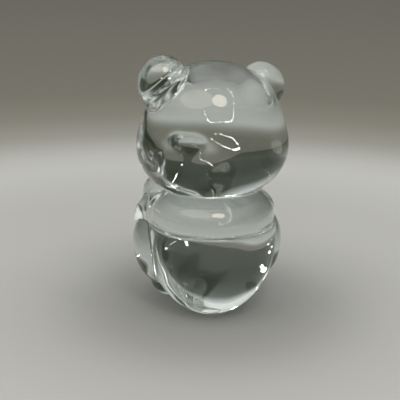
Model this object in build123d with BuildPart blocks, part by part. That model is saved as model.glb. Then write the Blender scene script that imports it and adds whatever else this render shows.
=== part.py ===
from build123d import *
from math import asin, cos, degrees, radians, sin
import os

# Solid clear glass figurine of a sitting bear cub.
# Millimetres. Z is up, the bear looks along -Y and its own left side is +X.
# The origin is on the flat the figurine stands on, straight below the top of the head and
# just behind the flat's front edge.

# ---- driving dimensions -------------------------------------------------

# Rump: a globe cut flat underneath and at the waist. In front, between the legs, it is cut
# by a plane through LAP_POINT that slopes back under the belly, LAP_SLOPE degrees off upright.
RUMP_CENTRE = (0, 1.5, 26.5)
RUMP_RADII = (22.4, 22, 28)
WAIST_HEIGHT = 31.4
LAP_POINT = (0, -17, 20)
LAP_SLOPE = 38.5

# Chest: a flattened globe between the waist and the neck.
CHEST_CENTRE = (0, 1.5, 35.4)
CHEST_RADII = (21.6, 20.6, 11.4)
NECK_HEIGHT = 42.7

# Head: a turned profile, a little shallower than it is wide. A wide cheek ellipse
# below and a crown ellipse above are joined by a fair curve at the temples.
CHEEK_HEIGHT = 58.3
CHEEK_RADIUS = 26.0
CHEEK_HALF_HEIGHT = 18.8
CHEEK_END_ANGLE = 8
CROWN_HEIGHT = 66.6
CROWN_RADIUS = 23.2
CROWN_HALF_HEIGHT = 20.8
CROWN_START_ANGLE = 25
HEAD_DEPTH_RATIO = 0.9
HEAD_SHIFT = 0.5

# Face: below the brow it falls back to the chin along the inside of a large sphere, and
# everything on it is moulded in low relief.
FACE_CENTRE = (0, 20.4, 73.5)
FACE_RADIUS = 45
MUZZLE_CENTRE = (0, -14.6, 53.5)
MUZZLE_RADII = (8, 6.5, 5)
NOSE_CENTRE = (0, -20.9, 55.6)
NOSE_RADII = (2.4, 1.5, 1.7)
EYE_CENTRE = (10, -19.2, 65.5)
EYE_RADII = (2.0, 1.6, 2.2)

# Ears: thick rounded lobes. The left one is set a touch higher and further back.
LEFT_EAR_CENTRE = (17.3, 4.5, 79.4)
LEFT_EAR_RADII = (8.8, 7.4, 10.4)
RIGHT_EAR_CENTRE = (-17.2, -3.5, 77.6)
RIGHT_EAR_RADII = (8.2, 7.2, 9.0)
EAR_TILT = 12
EAR_DISH_RADIUS = 5.2
EAR_DISH_DEPTH = 1.2

# Arms, given for the left side and mirrored for the right.
SHOULDER = (15.5, -1, 35)
ELBOW = (18.6, -9, 32)
WRIST = (15.4, -18, 36)
SHOULDER_RADIUS = 7.4
ELBOW_RADIUS = 6.8
WRIST_RADIUS = 5.6
PAW_CENTRE = (14.6, -20, 37.4)
PAW_RADII = (6.5, 6.2, 6.6)

# Legs, given for the left side and mirrored for the right.
THIGH_CENTRE = (17.9, -5, 21.6)
THIGH_RADII = (8.6, 12.5, 13.4)
THIGH_TILT = 9
FOOT_CENTRE = (12.6, -14.5, 7)
FOOT_RADII = (6.5, 8.5, 7.4)

# Every mass bites into the one it grows out of and is then cut by it, so
# neighbours meet on a shared face instead of overlapping.

os.makedirs("parts", exist_ok=True)


# ---- shapes used more than once ------------------------------------------

def pebble(centre, radii, tilt=0):
    """Ellipsoid: half an ellipse turned about Z, then stretched along Y."""
    width, depth, height = radii
    with BuildPart() as blob:
        with BuildSketch(Plane.XZ):
            Ellipse(width, height)
            Rectangle(width, 2 * height, align=(Align.MAX, Align.CENTER), mode=Mode.SUBTRACT)
        revolve(axis=Axis.Z)
        scale(by=(1, depth / width, 1))
    return Location(centre, (0, tilt, 0)) * blob.part


def limb(start, end, start_radius, end_radius):
    """Round-ended tapered rod running from one joint centre to the next."""
    axis = Vector(*end) - Vector(*start)
    lean = asin((start_radius - end_radius) / axis.length)
    lean_angle = degrees(lean)
    with BuildPart() as rod:
        with BuildSketch(Plane.XZ):
            with BuildLine():
                CenterArc((0, 0), start_radius, -90, 90 + lean_angle)
                Line(
                    (start_radius * cos(lean), start_radius * sin(lean)),
                    (end_radius * cos(lean), axis.length + end_radius * sin(lean)),
                )
                CenterArc((0, axis.length), end_radius, lean_angle, 90 - lean_angle)
                Line((0, axis.length + end_radius), (0, -start_radius))
            make_face()
        revolve(axis=Axis.Z)
    return Plane(origin=start, z_dir=axis).location * rod.part


# ---- trunk ----------------------------------------------------------------

rump_globe = pebble(RUMP_CENTRE, RUMP_RADII)
chest_globe = pebble(CHEST_CENTRE, CHEST_RADII)
lap_plane = Plane(origin=LAP_POINT, z_dir=(0, -cos(radians(LAP_SLOPE)), -sin(radians(LAP_SLOPE))))

# The globe of the rump, sloping back under the belly, flat underneath so the figurine stands.
with BuildPart() as lower_body:
    add(rump_globe)
    split(bisect_by=lap_plane, keep=Keep.BOTTOM)
    split(bisect_by=Plane.XY, keep=Keep.TOP)
    split(bisect_by=Plane.XY.offset(WAIST_HEIGHT), keep=Keep.BOTTOM)

# The chest sits on the waist cut and carries the neck cut.
with BuildPart() as torso:
    add(chest_globe)
    split(bisect_by=Plane.XY.offset(WAIST_HEIGHT), keep=Keep.TOP)
    split(bisect_by=Plane.XY.offset(NECK_HEIGHT), keep=Keep.BOTTOM)

# ---- head -----------------------------------------------------------------

neck_angle = degrees(asin((NECK_HEIGHT - CHEEK_HEIGHT) / CHEEK_HALF_HEIGHT))

with BuildPart() as head:
    with BuildSketch(Plane.XZ):
        with BuildLine():
            cheek = EllipticalCenterArc(
                (0, CHEEK_HEIGHT),
                CHEEK_RADIUS,
                CHEEK_HALF_HEIGHT,
                start_angle=neck_angle,
                arc_size=CHEEK_END_ANGLE - neck_angle,
            )
            crown = EllipticalCenterArc(
                (0, CROWN_HEIGHT),
                CROWN_RADIUS,
                CROWN_HALF_HEIGHT,
                start_angle=CROWN_START_ANGLE,
                arc_size=90 - CROWN_START_ANGLE,
            )
            Spline(cheek @ 1, crown @ 0, tangents=[cheek % 1, crown % 0])
            Polyline(crown @ 1, (0, NECK_HEIGHT), cheek @ 0)
        make_face()
    revolve(axis=Axis.Z)
    scale(by=(1, HEAD_DEPTH_RATIO, 1))
    add(head.part.moved(Location((0, HEAD_SHIFT, 0))), mode=Mode.REPLACE)
    with Locations(FACE_CENTRE):
        Sphere(FACE_RADIUS, mode=Mode.INTERSECT)

# The muzzle grows out of the front of the head, the nose out of the muzzle.
muzzle_blob = pebble(MUZZLE_CENTRE, MUZZLE_RADII)
with BuildPart() as muzzle:
    add(muzzle_blob)
    add(head.part, mode=Mode.SUBTRACT)

nose_blob = pebble(NOSE_CENTRE, NOSE_RADII)
with BuildPart() as nose:
    add(nose_blob)
    add(muzzle_blob, mode=Mode.SUBTRACT)
    add(head.part, mode=Mode.SUBTRACT)

# Low moulded eye bumps.
eye_bump = pebble(EYE_CENTRE, EYE_RADII)
with BuildPart() as left_eye:
    add(eye_bump)
    add(head.part, mode=Mode.SUBTRACT)

with BuildPart() as right_eye:
    add(left_eye.part.mirror(Plane.YZ))

# Ear lobes, dished in front, each cut by the head it grows out of.
ear_places = [
    (LEFT_EAR_CENTRE, LEFT_EAR_RADII, EAR_TILT),
    (RIGHT_EAR_CENTRE, RIGHT_EAR_RADII, -EAR_TILT),
]
ear_lobes = []
for centre, radii, tilt in ear_places:
    dish_radius = (EAR_DISH_RADIUS**2 + EAR_DISH_DEPTH**2) / (2 * EAR_DISH_DEPTH)
    dish_reach = radii[1] - EAR_DISH_DEPTH + dish_radius
    with BuildPart() as dished_lobe:
        add(pebble(centre, radii, tilt))
        with Locations((centre[0], centre[1] - dish_reach, centre[2])):
            Sphere(dish_radius, mode=Mode.SUBTRACT)
    ear_lobes.append(dished_lobe.part)

with BuildPart() as left_ear:
    add(ear_lobes[0])
    add(head.part, mode=Mode.SUBTRACT)

with BuildPart() as right_ear:
    add(ear_lobes[1])
    add(head.part, mode=Mode.SUBTRACT)

# ---- legs -----------------------------------------------------------------

thigh_blob = pebble(THIGH_CENTRE, THIGH_RADII, THIGH_TILT)
foot_blob = pebble(FOOT_CENTRE, FOOT_RADII)

with BuildPart() as left_leg:
    add(thigh_blob)
    add(lower_body.part, mode=Mode.SUBTRACT)
    add(torso.part, mode=Mode.SUBTRACT)

# The feet are trimmed to the same ground plane as the rump.
with BuildPart() as left_foot:
    add(foot_blob)
    split(bisect_by=Plane.XY, keep=Keep.TOP)
    add(lower_body.part, mode=Mode.SUBTRACT)
    add(thigh_blob, mode=Mode.SUBTRACT)

# ---- arms -----------------------------------------------------------------

upper_arm = limb(SHOULDER, ELBOW, SHOULDER_RADIUS, ELBOW_RADIUS)
fore_arm = limb(ELBOW, WRIST, ELBOW_RADIUS, WRIST_RADIUS)
paw_blob = pebble(PAW_CENTRE, PAW_RADII)

with BuildPart() as left_arm:
    add(upper_arm)
    add(fore_arm)
    add(torso.part, mode=Mode.SUBTRACT)
    add(lower_body.part, mode=Mode.SUBTRACT)
    add(head.part, mode=Mode.SUBTRACT)
    add(thigh_blob, mode=Mode.SUBTRACT)

with BuildPart() as left_paw:
    add(paw_blob)
    add(upper_arm, mode=Mode.SUBTRACT)
    add(fore_arm, mode=Mode.SUBTRACT)
    add(torso.part, mode=Mode.SUBTRACT)
    add(head.part, mode=Mode.SUBTRACT)
    add(muzzle_blob, mode=Mode.SUBTRACT)

# ---- right-hand limbs are the left-hand ones mirrored ----------------------

with BuildPart() as right_leg:
    add(left_leg.part.mirror(Plane.YZ))

with BuildPart() as right_foot:
    add(left_foot.part.mirror(Plane.YZ))

with BuildPart() as right_arm:
    add(left_arm.part.mirror(Plane.YZ))

with BuildPart() as right_paw:
    add(left_paw.part.mirror(Plane.YZ))

# ---- export ---------------------------------------------------------------

pieces = {
    "lower_body": lower_body,
    "torso": torso,
    "head": head,
    "muzzle": muzzle,
    "nose": nose,
    "left_eye": left_eye,
    "right_eye": right_eye,
    "left_ear": left_ear,
    "right_ear": right_ear,
    "left_leg": left_leg,
    "right_leg": right_leg,
    "left_foot": left_foot,
    "right_foot": right_foot,
    "left_arm": left_arm,
    "right_arm": right_arm,
    "left_paw": left_paw,
    "right_paw": right_paw,
}

for piece_name, piece in pieces.items():
    piece.part.label = piece_name
    export_step(piece.part, f"parts/{piece_name}.step")
    box = piece.part.bounding_box()
    print(piece_name, round(piece.part.volume, 1), len(piece.part.solids()), box.min, box.max)
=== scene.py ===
"""Looks for the clear glass bear cub: one continuous body of glass, divided into its named masses.

The outer skin is worked out as a smooth blend of rounded masses, so the creases have the soft
fillets of pressed glass. It is then cut into the pieces that the frame names. Cut faces lie inside
the glass and bend no light, so the assembled pieces look like the single casting they stand for.
"""

from itertools import product
from math import cos, pi, radians, sin

import bpy
import numpy as np
import openvdb
from mathutils import Matrix, Vector


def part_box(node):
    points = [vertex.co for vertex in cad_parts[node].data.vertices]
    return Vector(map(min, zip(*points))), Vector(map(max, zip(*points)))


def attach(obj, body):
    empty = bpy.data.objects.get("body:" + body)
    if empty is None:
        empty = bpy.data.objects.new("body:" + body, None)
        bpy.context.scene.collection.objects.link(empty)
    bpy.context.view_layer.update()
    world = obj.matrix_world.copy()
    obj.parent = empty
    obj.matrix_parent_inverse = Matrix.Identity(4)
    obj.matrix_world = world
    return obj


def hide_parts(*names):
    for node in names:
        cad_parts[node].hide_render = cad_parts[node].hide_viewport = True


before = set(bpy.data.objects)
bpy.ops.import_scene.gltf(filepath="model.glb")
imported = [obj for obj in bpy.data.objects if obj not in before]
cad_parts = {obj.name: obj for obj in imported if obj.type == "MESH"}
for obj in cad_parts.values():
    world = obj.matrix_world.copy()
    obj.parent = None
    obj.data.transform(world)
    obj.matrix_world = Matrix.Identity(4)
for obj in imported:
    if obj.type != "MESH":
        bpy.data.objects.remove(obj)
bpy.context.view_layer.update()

MM = 0.001

# ---- sizes of the masses, in millimetres --------------------------------------------------------

# The bear looks along -Y and its own left side is +X. Limbs are given for the left side.
WAIST_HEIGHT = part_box("torso")[0][2] / MM
NECK_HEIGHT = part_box("head")[0][2] / MM

RUMP = {"centre": (0, 1.5, 26.5), "radii": (22.4, 22, 28)}
RUMP_SHOULDER_HEIGHT = 32.2
RUMP_SHOULDER_REACH = 1.2
# A plane through LAP_POINT, this many degrees off upright, cuts the rump back under the belly.
LAP_POINT = (0, -17, 20)
LAP_SLOPE = 38.5
CHEST = {"centre": (0, 1.5, 35.4), "radii": (21.6, 20.6, 11.4)}
CROWN = {"centre": (0, 0.8, 66.6), "radii": (23.0, 20.9, 20.7)}
CHEEKS = {"centre": (0, 0, 58.3), "radii": (26.0, 22.9, 18.8)}
# The face falls back to the chin along the inside of this sphere.
FACE_CENTRE = (0, 20.4, 73.5)
FACE_RADIUS = 45
MUZZLE = {"centre": (0, -14.6, 53.5), "radii": (8, 6.5, 5)}
NOSE = {"centre": (0, -20.9, 55.6), "radii": (2.4, 1.5, 1.7)}
EYE = {"centre": (10, -19.2, 65.5), "radii": (2.0, 1.6, 2.2)}
LEFT_EAR = {"centre": (17.3, 4.5, 79.4), "radii": (8.8, 7.4, 10.4), "tilt": 12}
RIGHT_EAR = {"centre": (-17.2, -3.5, 77.6), "radii": (8.2, 7.2, 9.0), "tilt": -12}
EAR_DISH_RADIUS = 5.2
EAR_DISH_DEPTH = 1.2
SHOULDER = (15.5, -1, 35)
ELBOW = (18.6, -9, 32)
WRIST = (15.4, -18, 36)
ARM_RADII = (7.4, 6.8, 5.6)
PAW = {"centre": (14.6, -20, 37.4), "radii": (6.5, 6.2, 6.6)}
THIGH = {"centre": (17.9, -5, 21.6), "radii": (8.6, 12.5, 13.4), "tilt": 9}
FOOT = {"centre": (12.6, -14.5, 7), "radii": (6.5, 8.5, 7.4)}

# How far the soft fillet of each crease reaches, and the softening of each cut edge.
TEMPLE_FILLET = 8
MUZZLE_FILLET = 3
NOSE_FILLET = 2
EYE_FILLET = 1
EAR_FILLET = 1
ELBOW_FILLET = 2
WRIST_FILLET = 1.5
SHOULDER_FILLET = 1.5
HIP_FILLET = 1.2
ANKLE_FILLET = 3
WAIST_FILLET = 1
NECK_FILLET = 1
FACE_EDGE = 2
EAR_DISH_EDGE = 1.5
LAP_EDGE = 3

# Height of the slow and the quick ripples in the skin.
SLOW_RIPPLE = 0.035
QUICK_RIPPLE = 0.012

# The body that cuts out a mass stands COVER proud of it, and stays PARTING clear of the masses
# that it grows from.
COVER = 1.2
PARTING = 0.3
# The glass rests on the paper without wetting it: a hair of air stays underneath.
AIR_GAP = 0.05

# Step of the grid that a surface is found on, and the box that holds the whole casting.
VOXEL = 0.5
FIELD_LOW = np.array((-32.0, -36.0, -4.0))
FIELD_HIGH = np.array((32.0, 30.0, 94.0))

# ---- fields: distance-like functions, negative inside -------------------------------------------


def ellipsoid(points, centre, radii, tilt=0):
    """Signed distance to an ellipsoid, near enough for blending, tilted about Y in degrees."""
    local = points - np.array(centre, float)
    if tilt:
        c, s = cos(radians(tilt)), sin(radians(tilt))
        x = c * local[..., 0] - s * local[..., 2]
        z = s * local[..., 0] + c * local[..., 2]
        local = np.stack([x, local[..., 1], z], -1)
    radii = np.array(radii, float)
    k0 = np.linalg.norm(local / radii, axis=-1)
    k1 = np.linalg.norm(local / radii**2, axis=-1)
    return k0 * (k0 - 1) / np.maximum(k1, 1e-9)


def rod(points, start, end, start_radius, end_radius):
    """Signed distance to a round-ended rod whose radius changes evenly along it."""
    start = np.array(start, float)
    span = np.array(end, float) - start
    local = points - start
    along = np.clip(local @ span / (span @ span), 0, 1)
    radius = start_radius + (end_radius - start_radius) * along
    return np.linalg.norm(local - along[..., None] * span, axis=-1) - radius


def blend(a, b, reach):
    """Union of two fields with a soft fillet that starts within reach of the crease."""
    shared = np.maximum(reach - np.abs(a - b), 0) / reach
    return np.minimum(a, b) - shared**3 * reach / 6


def overlap(a, b, reach):
    """What two fields share, the edge between them softened."""
    return -blend(-a, -b, reach)


def carve(a, b, reach):
    """Field a with field b taken out of it, the rim softened."""
    return overlap(a, -b, reach)


def folded(points, side):
    """Points seen in the left half's own terms: the right half is the mirror of it."""
    return points * np.array((side, 1, 1), float)


def head_field(points):
    """Crown over wide cheeks, the front of it falling back to the chin."""
    head = blend(ellipsoid(points, **CROWN), ellipsoid(points, **CHEEKS), TEMPLE_FILLET)
    face = np.linalg.norm(points - np.array(FACE_CENTRE), axis=-1) - FACE_RADIUS
    return overlap(head, face, FACE_EDGE)


def muzzle_field(points):
    return ellipsoid(points, **MUZZLE)


def nose_field(points):
    return ellipsoid(points, **NOSE)


def eye_field(points, side):
    return ellipsoid(folded(points, side), **EYE)


def lobe_field(points, ear):
    return ellipsoid(points, **ear)


def ear_field(points, ear):
    """Thick lobe with a shallow dish pressed into its front."""
    centre, radii = ear["centre"], ear["radii"]
    dish_radius = (EAR_DISH_RADIUS**2 + EAR_DISH_DEPTH**2) / (2 * EAR_DISH_DEPTH)
    dish_y = centre[1] - radii[1] + EAR_DISH_DEPTH - dish_radius
    dish_centre = np.array((centre[0], dish_y, centre[2]))
    dish = np.linalg.norm(points - dish_centre, axis=-1) - dish_radius
    return carve(lobe_field(points, ear), dish, EAR_DISH_EDGE)


def arm_field(points, side):
    points = folded(points, side)
    upper = rod(points, SHOULDER, ELBOW, ARM_RADII[0], ARM_RADII[1])
    fore = rod(points, ELBOW, WRIST, ARM_RADII[1], ARM_RADII[2])
    return blend(upper, fore, ELBOW_FILLET)


def paw_field(points, side):
    return ellipsoid(folded(points, side), **PAW)


def leg_field(points, side):
    return ellipsoid(folded(points, side), **THIGH)


def foot_field(points, side):
    return ellipsoid(folded(points, side), **FOOT)


def rump_field(points):
    """Globe with a tight shoulder under the waist, sloping back under the belly."""
    globe = ellipsoid(points, **RUMP)
    shoulder = points[..., 2] - RUMP_SHOULDER_HEIGHT
    lap_facing = np.array((0, -cos(radians(LAP_SLOPE)), -sin(radians(LAP_SLOPE))))
    lap = (points - np.array(LAP_POINT)) @ lap_facing
    return overlap(overlap(globe, shoulder, RUMP_SHOULDER_REACH), lap, LAP_EDGE)


def chest_field(points):
    return ellipsoid(points, **CHEST)


def trunk_field(points):
    return np.minimum(np.minimum(head_field(points), chest_field(points)), rump_field(points))


def ripple(points):
    """The faint unevenness of glass pressed in a mould, under a twentieth of a millimetre."""
    x, y, z = points[..., 0], points[..., 1], points[..., 2]
    slow = np.sin(0.31 * x + 1.7 * np.sin(0.13 * z + 0.4)) * np.sin(0.27 * y + 0.21 * z)
    quick = np.sin(0.62 * z + 0.33 * x) * np.sin(0.55 * y - 0.41 * x + 1.1)
    return SLOW_RIPPLE * slow + QUICK_RIPPLE * quick


def bear_field(points):
    """The whole casting, with each crease as soft as it looks."""
    head = head_field(points)
    head = blend(head, muzzle_field(points), MUZZLE_FILLET)
    head = blend(head, nose_field(points), NOSE_FILLET)
    for side in (1, -1):
        head = blend(head, eye_field(points, side), EYE_FILLET)
    for ear in (LEFT_EAR, RIGHT_EAR):
        head = blend(head, ear_field(points, ear), EAR_FILLET)
    body = chest_field(points)
    seat = rump_field(points)
    for side in (1, -1):
        arm = blend(arm_field(points, side), paw_field(points, side), WRIST_FILLET)
        body = blend(body, arm, SHOULDER_FILLET)
        leg = blend(leg_field(points, side), foot_field(points, side), ANKLE_FILLET)
        seat = blend(seat, leg, HIP_FILLET)
    body = blend(body, seat, WAIST_FILLET)
    return blend(head, body, NECK_FILLET) + ripple(points)


def slope(field, points, step=0.02):
    """Gradient of a field by central differences."""
    columns = []
    for axis in range(3):
        shift = np.zeros(3)
        shift[axis] = step
        columns.append((field(points + shift) - field(points - shift)) / (2 * step))
    return np.stack(columns, -1)


# ---- meshes from fields -------------------------------------------------------------------------


def sampled(field, low, high):
    """Corner points and quads of a field's zero surface, in millimetres."""
    counts = np.ceil((high - low) / VOXEL).astype(int) + 1
    axes = [low[i] + VOXEL * np.arange(counts[i]) for i in range(3)]
    values = np.empty(counts, np.float32)
    for i, x in enumerate(axes[0]):
        y, z = np.meshgrid(axes[1], axes[2], indexing="ij")
        values[i] = field(np.stack([np.full_like(y, x), y, z], -1))
    grid = openvdb.FloatGrid(float(values.max()))
    grid.copyFromArray(values)
    corners, quads = grid.convertToQuads(0.0)
    return low + VOXEL * np.asarray(corners, float), np.asarray(quads)


def settled(field, corners, rounds=3):
    """Moves points along the slope until they lie on the surface."""
    for _ in range(rounds):
        gradient = slope(field, corners)
        size = np.maximum((gradient**2).sum(-1), 1e-6)
        corners = corners - (field(corners) / size)[:, None] * gradient
    return corners


def mesh_object(name, corners, faces, material):
    """A mesh object in metres from points in millimetres."""
    mesh = bpy.data.meshes.new(name)
    mesh.from_pydata((corners * MM).tolist(), [], faces.tolist())
    mesh.materials.append(material)
    mesh.update()
    item = bpy.data.objects.new(name, mesh)
    bpy.context.scene.collection.objects.link(item)
    return item


def block(name, low, high, material):
    """A plain cutting block between two corners given in millimetres."""
    corners = np.array(list(product(*zip(low, high))), float)
    faces = np.array([(0, 1, 3, 2), (4, 6, 7, 5), (0, 4, 5, 1), (2, 3, 7, 6), (0, 2, 6, 4), (1, 5, 7, 3)])
    return mesh_object(name, corners, faces, material)


def boolean(item, cutter, operation, name=None):
    """Cuts a copy of item and returns it as a new object; item is left alone."""
    copy = item.copy()
    copy.data = item.data.copy()
    bpy.context.scene.collection.objects.link(copy)
    step = copy.modifiers.new("cut", "BOOLEAN")
    step.solver = "MANIFOLD"
    step.operation = operation
    step.object = cutter
    step.material_mode = "TRANSFER"
    bpy.context.view_layer.update()
    graph = bpy.context.evaluated_depsgraph_get()
    result = bpy.data.meshes.new_from_object(copy.evaluated_get(graph))
    bpy.data.objects.remove(copy)
    made = bpy.data.objects.new(name or item.name, result)
    bpy.context.scene.collection.objects.link(made)
    return made


# ---- materials ----------------------------------------------------------------------------------


def new_material(name):
    material = bpy.data.materials.new(name)
    material.use_nodes = True
    material.node_tree.nodes.clear()
    return material, material.node_tree.nodes, material.node_tree.links


def crystal_material():
    """Clear pressed glass with a faint grey-green cast and the slight haze of a handled surface."""
    material, nodes, links = new_material("pressed_glass")
    output = nodes.new("ShaderNodeOutputMaterial")
    glass = nodes.new("ShaderNodeBsdfPrincipled")
    glass.inputs["Base Color"].default_value = (0.76, 0.815, 0.79, 1)
    glass.inputs["IOR"].default_value = 1.52
    glass.inputs["Transmission Weight"].default_value = 1.0
    coordinates = nodes.new("ShaderNodeTexCoord")
    haze = nodes.new("ShaderNodeTexNoise")
    haze.inputs["Scale"].default_value = 90
    haze.inputs["Detail"].default_value = 4
    roughness = nodes.new("ShaderNodeMapRange")
    roughness.inputs["From Min"].default_value = 0.45
    roughness.inputs["From Max"].default_value = 0.75
    roughness.inputs["To Min"].default_value = 0.0
    roughness.inputs["To Max"].default_value = 0.03
    links.new(coordinates.outputs["Object"], haze.inputs["Vector"])
    links.new(haze.outputs["Fac"], roughness.inputs["Value"])
    links.new(roughness.outputs["Result"], glass.inputs["Roughness"])
    links.new(glass.outputs["BSDF"], output.inputs["Surface"])
    return material


def joint_material():
    """Faces where two masses of the one casting meet: glass on both sides, so no light is bent."""
    material, nodes, links = new_material("inside_the_glass")
    output = nodes.new("ShaderNodeOutputMaterial")
    clear = nodes.new("ShaderNodeBsdfTransparent")
    links.new(clear.outputs["BSDF"], output.inputs["Surface"])
    return material


CRYSTAL = crystal_material()
INSIDE = joint_material()

# ---- the casting and its pieces -----------------------------------------------------------------

# Further out, higher and lower than any part of the bear.
OUTSIDE = 60
OVERHEAD = 120
UNDERFOOT = -30


def region(name, mass, parents, centre, reach):
    """Cutting body for one mass: the mass made slightly larger, less the masses it grows from."""

    def field(points):
        inside = mass(points) - COVER
        for parent in parents:
            inside = np.maximum(inside, PARTING - parent(points))
        return inside

    low = np.array(centre, float) - reach
    high = np.array(centre, float) + reach
    corners, quads = sampled(field, low, high)
    return mesh_object(name, corners, quads, INSIDE)


def held(field, choice):
    """A field with its side, or its ear, already chosen."""
    return lambda points: field(points, choice)


def at_side(point, side):
    return (point[0] * side, point[1], point[2])


corners, quads = sampled(bear_field, FIELD_LOW, FIELD_HIGH)
casting = mesh_object("casting", settled(bear_field, corners), quads, CRYSTAL)
floor_cut = block("floor_cut", (-OUTSIDE, -OUTSIDE, UNDERFOOT), (OUTSIDE, OUTSIDE, AIR_GAP), CRYSTAL)
body_left = boolean(casting, floor_cut, "DIFFERENCE")
bpy.data.objects.remove(casting)
bpy.data.objects.remove(floor_cut)

# Each limb: its name, its mass, the masses it grows from, and the middle and half-width of the
# cube that holds it.
limbs = [
    ("nose", nose_field, (muzzle_field, head_field), NOSE["centre"], 8),
    ("muzzle", muzzle_field, (head_field,), MUZZLE["centre"], 15),
]
for word, side, ear in (("left", 1, LEFT_EAR), ("right", -1, RIGHT_EAR)):
    eye, paw, arm = held(eye_field, side), held(paw_field, side), held(arm_field, side)
    leg, foot, lobe = held(leg_field, side), held(foot_field, side), held(lobe_field, ear)
    limbs.append((word + "_eye", eye, (head_field,), at_side(EYE["centre"], side), 6))
    limbs.append((word + "_ear", lobe, (head_field,), ear["centre"], 15))
    beside_paw = (arm, trunk_field, muzzle_field)
    limbs.append((word + "_paw", paw, beside_paw, at_side(PAW["centre"], side), 12))
    limbs.append((word + "_arm", arm, (trunk_field, leg), at_side(ELBOW, side), 22))
    limbs.append((word + "_foot", foot, (leg, trunk_field), at_side(FOOT["centre"], side), 15))
    limbs.append((word + "_leg", leg, (trunk_field,), at_side(THIGH["centre"], side), 20))

pieces = {}
for name, mass, parents, centre, reach in limbs:
    cutter = region(name + "_cutter", mass, parents, centre, reach)
    pieces[name] = boolean(body_left, cutter, "INTERSECT", name)
    rest = boolean(body_left, cutter, "DIFFERENCE", "rest")
    bpy.data.objects.remove(body_left)
    bpy.data.objects.remove(cutter)
    body_left = rest

far_corner = (OUTSIDE, OUTSIDE, OVERHEAD)
above_neck = block("above_neck", (-OUTSIDE, -OUTSIDE, NECK_HEIGHT), far_corner, INSIDE)
above_waist = block("above_waist", (-OUTSIDE, -OUTSIDE, WAIST_HEIGHT), far_corner, INSIDE)
pieces["head"] = boolean(body_left, above_neck, "INTERSECT", "head")
below_neck = boolean(body_left, above_neck, "DIFFERENCE", "rest")
pieces["torso"] = boolean(below_neck, above_waist, "INTERSECT", "torso")
pieces["lower_body"] = boolean(below_neck, above_waist, "DIFFERENCE", "lower_body")
for item in (body_left, below_neck, above_neck, above_waist):
    bpy.data.objects.remove(item)


# A skin face whose normal points down more steeply than this is the flat of the base.
STRAIGHT_DOWN = -0.9999


def finish_piece(name, item):
    """Smooth shading that follows the casting's own slope, so no seam shows in the glass."""
    mesh = item.data
    skin = mesh.materials.find(CRYSTAL.name)
    points = np.empty(len(mesh.vertices) * 3)
    mesh.vertices.foreach_get("co", points)
    points = points.reshape(-1, 3) / MM
    gradient = slope(bear_field, points)
    gradient /= np.maximum(np.linalg.norm(gradient, axis=-1), 1e-9)[:, None]
    corner_vertex = np.empty(len(mesh.loops), int)
    mesh.loops.foreach_get("vertex_index", corner_vertex)
    normals = gradient[corner_vertex]
    for face in mesh.polygons:
        loops = slice(face.loop_start, face.loop_start + face.loop_total)
        flat_face = face.material_index != skin or face.normal.z < STRAIGHT_DOWN
        if flat_face:
            normals[loops] = face.normal
    mesh.shade_smooth()
    mesh.normals_split_custom_set(normals.tolist())
    item.name = "glass_" + name
    mesh.name = item.name


for name, item in pieces.items():
    finish_piece(name, item)
    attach(item, "root")
    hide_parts(name)

# ---- floor and light ----------------------------------------------------------------------------

FLOOR_HALF_WIDTH = 6000
# At each distance from the bear in millimetres, how pale the paper is painted and how warm its tint: a
# painted shadow darkens the paper close to the bear, a painted pool of light round it fades out, and the
# far paper is painted in the darker, warm shade of the unlit room.
FLOOR_PAINTED_LIGHT = (
    (0, 0.26, 0.0),
    (35, 0.30, 0.0),
    (60, 0.41, 0.0),
    (90, 0.46, 0.0),
    (140, 0.48, 0.0),
    (210, 0.56, 0.0),
    (240, 0.53, 0.1),
    (300, 0.35, 0.5),
    (370, 0.265, 0.9),
    (470, 0.222, 1.0),
    (2000, 0.21, 1.0),
)
# The share of its green and of its blue that the paper loses where the painted warm shade of the unlit
# room is full.
PAINTED_SHADE_WARMTH_LOSS = (0.05, 0.19)


def tone_ramp(nodes, stops, start, end):
    """Colour ramp from (position, colour) stops, positions running from start to end."""
    ramp = nodes.new("ShaderNodeValToRGB")
    elements = ramp.color_ramp.elements
    while len(elements) < len(stops):
        elements.new(1.0)
    for element, (place, colour) in zip(elements, stops):
        element.position = (place - start) / (end - start)
        element.color = colour
    return ramp


def painted_light_floor_material():
    """Pale paper whose colour carries painted light: a painted contact shadow close to the bear, a
    painted pool of light round it, and the painted warm shade of the unlit room further off.
    """
    material, nodes, links = new_material("floor")
    output = nodes.new("ShaderNodeOutputMaterial")
    paper = nodes.new("ShaderNodeBsdfPrincipled")
    paper.inputs["Roughness"].default_value = 0.8
    paper.inputs["Specular IOR Level"].default_value = 0.2
    coordinates = nodes.new("ShaderNodeTexCoord")
    distance = nodes.new("ShaderNodeVectorMath")
    distance.operation = "LENGTH"
    reach = FLOOR_PAINTED_LIGHT[-1][0]
    fraction = nodes.new("ShaderNodeMath")
    fraction.operation = "DIVIDE"
    fraction.inputs[1].default_value = reach * MM
    green, blue = PAINTED_SHADE_WARMTH_LOSS
    # Ramp stops of the paper's painted shadow, painted pool of light and painted far shade.
    stops = [(r, (t, t * (1 - green * w), t * (1 - blue * w), 1)) for r, t, w in FLOOR_PAINTED_LIGHT]
    ramp = tone_ramp(nodes, stops, 0, reach)
    links.new(coordinates.outputs["Object"], distance.inputs[0])
    links.new(distance.outputs["Value"], fraction.inputs[0])
    links.new(fraction.outputs["Value"], ramp.inputs["Fac"])
    links.new(ramp.outputs["Color"], paper.inputs["Base Color"])
    links.new(paper.outputs["BSDF"], output.inputs["Surface"])
    return material


floor = mesh_object(
    "floor",
    np.array([(x, y, 0.0) for x, y in ((-1, -1), (1, -1), (1, 1), (-1, 1))]) * FLOOR_HALF_WIDTH,
    np.array([(0, 1, 2, 3)]),
    painted_light_floor_material(),
)

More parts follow.
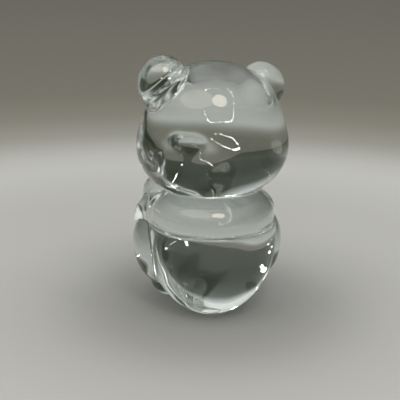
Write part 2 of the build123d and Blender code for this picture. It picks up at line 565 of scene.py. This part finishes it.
# Light of the room by degrees above the horizon: a dark room, then the soft ceiling light.
ROOM_TONES = (
    (-90, (0.10, 0.10, 0.09)),
    (-8, (0.15, 0.142, 0.115)),
    (0, (0.048, 0.055, 0.036)),
    (11, (0.018, 0.027, 0.014)),
    (26, (0.05, 0.057, 0.042)),
    (34, (0.42, 0.43, 0.42)),
    (45, (0.90, 0.91, 0.89)),
    (90, (1.05, 1.05, 1.02)),
)


def add_room():
    """World light that depends on height above the horizon alone."""
    world = bpy.data.worlds.new("room")
    world.use_nodes = True
    nodes, links = world.node_tree.nodes, world.node_tree.links
    background = nodes["Background"]
    coordinates = nodes.new("ShaderNodeTexCoord")
    parts = nodes.new("ShaderNodeSeparateXYZ")
    height = nodes.new("ShaderNodeMath")
    height.operation = "ARCSINE"
    fraction = nodes.new("ShaderNodeMapRange")
    fraction.inputs["From Min"].default_value = radians(-90)
    fraction.inputs["From Max"].default_value = radians(90)
    ramp = tone_ramp(nodes, [(h, (*c, 1)) for h, c in ROOM_TONES], -90, 90)
    links.new(coordinates.outputs["Generated"], parts.inputs[0])
    links.new(parts.outputs["Z"], height.inputs[0])
    links.new(height.outputs["Value"], fraction.inputs["Value"])
    links.new(fraction.outputs["Result"], ramp.inputs["Fac"])
    links.new(ramp.outputs["Color"], background.inputs["Color"])
    bpy.context.scene.world = world


add_room()


def glow_material(name, colour, strength):
    material, nodes, links = new_material(name)
    output = nodes.new("ShaderNodeOutputMaterial")
    glow = nodes.new("ShaderNodeEmission")
    glow.inputs["Color"].default_value = (*colour, 1)
    glow.inputs["Strength"].default_value = strength
    links.new(glow.outputs["Emission"], output.inputs["Surface"])
    return material


# The lamp: a rounded square of small bright points with a warm patch inside it, and a weaker
# warm patch further round to one side. Each lies on a plane that squarely faces the bear.
# Azimuths run from the way the bear looks towards its left, in degrees.
LAMP_TARGET = (0, 0, 60)
LAMP_DISTANCE = 700
LAMP_AZIMUTH = 178
LAMP_ELEVATION = 49
RING_ACROSS = 40
RING_HALF_WIDTH = 270
RING_HALF_HEIGHT = 360
# 1 makes the ring an ellipse, and less than that squares it.
RING_SQUARENESS = 0.5
RING_POINTS = 44
POINT_RADIUS = 8
POINT_STRENGTH = 70
CORE_PLACE = (50, 40)
CORE_RADIUS = 125
CORE_STRENGTH = 8
SIDE_AZIMUTH = 130
SIDE_ELEVATION = 54
SIDE_HALF_WIDTH = 330
SIDE_HALF_HEIGHT = 190
SIDE_STRENGTH = 2.5
DISC_CORNERS = 16
WHITE = (1, 1, 1)
WARM = (1, 0.95, 0.8)


def facing(across, along, azimuth, elevation):
    """Point on a plane that squarely faces the bear."""
    azimuth, elevation = radians(azimuth), radians(elevation)
    away = np.array((sin(azimuth) * cos(elevation), -cos(azimuth) * cos(elevation), sin(elevation)))
    level = np.array((cos(azimuth), sin(azimuth), 0))
    middle = np.array(LAMP_TARGET) + LAMP_DISTANCE * away
    return middle + across * level + along * np.cross(away, level)


def disc(across, along, half_width, half_height, azimuth=LAMP_AZIMUTH, elevation=LAMP_ELEVATION):
    """Corner points of a flat oval on such a plane."""
    corners = []
    for angle in np.radians(np.arange(0, 360, 360 / DISC_CORNERS)):
        place = (across + half_width * cos(angle), along + half_height * sin(angle))
        corners.append(facing(*place, azimuth, elevation))
    return corners


def squared(value):
    """A cosine or sine pushed outwards, which turns a circle into a rounded square."""
    return np.sign(value) * abs(value) ** RING_SQUARENESS


def ring():
    """Corner points of all the small discs of the rounded square, one after another."""
    corners = []
    for index in range(RING_POINTS):
        turn = 2 * pi * index / RING_POINTS
        across = RING_ACROSS + RING_HALF_WIDTH * squared(cos(turn))
        along = RING_HALF_HEIGHT * squared(sin(turn))
        corners += disc(across, along, POINT_RADIUS, POINT_RADIUS)
    return corners


def add_glow(name, corners, material):
    """Stages the glowing discs whose corner points are given."""
    faces = np.arange(len(corners)).reshape(-1, DISC_CORNERS)
    mesh_object(name, np.array(corners), faces, material)


core = disc(*CORE_PLACE, CORE_RADIUS, CORE_RADIUS)
patch = disc(0, 0, SIDE_HALF_WIDTH, SIDE_HALF_HEIGHT, SIDE_AZIMUTH, SIDE_ELEVATION)
add_glow("lamp_points", ring(), glow_material("lamp_white", WHITE, POINT_STRENGTH))
add_glow("lamp_core", core, glow_material("lamp_warm", WARM, CORE_STRENGTH))
add_glow("lamp_side", patch, glow_material("lamp_side_warm", WARM, SIDE_STRENGTH))

# ---- camera: behind the bear, a little round to its left, in degrees and millimetres ------------

CAMERA_AZIMUTH = 168
CAMERA_ELEVATION = 16
CAMERA_ROLL = 1
CAMERA_DISTANCE = 300
CAMERA_FIELD = 26
AIM_HEIGHT = 42
AIM_RIGHT = 4
AIM_UP = 2.8


def add_camera():
    azimuth, elevation, roll = radians(CAMERA_AZIMUTH), radians(CAMERA_ELEVATION), radians(CAMERA_ROLL)
    back = Vector((sin(azimuth) * cos(elevation), -cos(azimuth) * cos(elevation), sin(elevation)))
    level_right = Vector((cos(azimuth), sin(azimuth), 0))
    level_up = back.cross(level_right)
    right = cos(roll) * level_right + sin(roll) * level_up
    up = back.cross(right)
    target = Vector((0, 0, AIM_HEIGHT)) - AIM_RIGHT * right - AIM_UP * up
    lens = bpy.data.cameras.new("camera")
    lens.angle = radians(CAMERA_FIELD)
    lens.clip_start = 0.01
    camera = bpy.data.objects.new("camera", lens)
    turn = Matrix((right, up, back)).transposed().to_4x4()
    camera.matrix_world = Matrix.Translation((target + CAMERA_DISTANCE * back) * MM) @ turn
    bpy.context.scene.collection.objects.link(camera)
    bpy.context.scene.camera = camera


add_camera()

# ---- how light is followed: it crosses many faces of glass on its way to the camera -------------

scene = bpy.context.scene
scene.view_settings.view_transform = "Standard"
scene.cycles.sample_clamp_indirect = 80
scene.cycles.max_bounces = 32
scene.cycles.transmission_bounces = 32
scene.cycles.glossy_bounces = 32
scene.cycles.transparent_max_bounces = 64
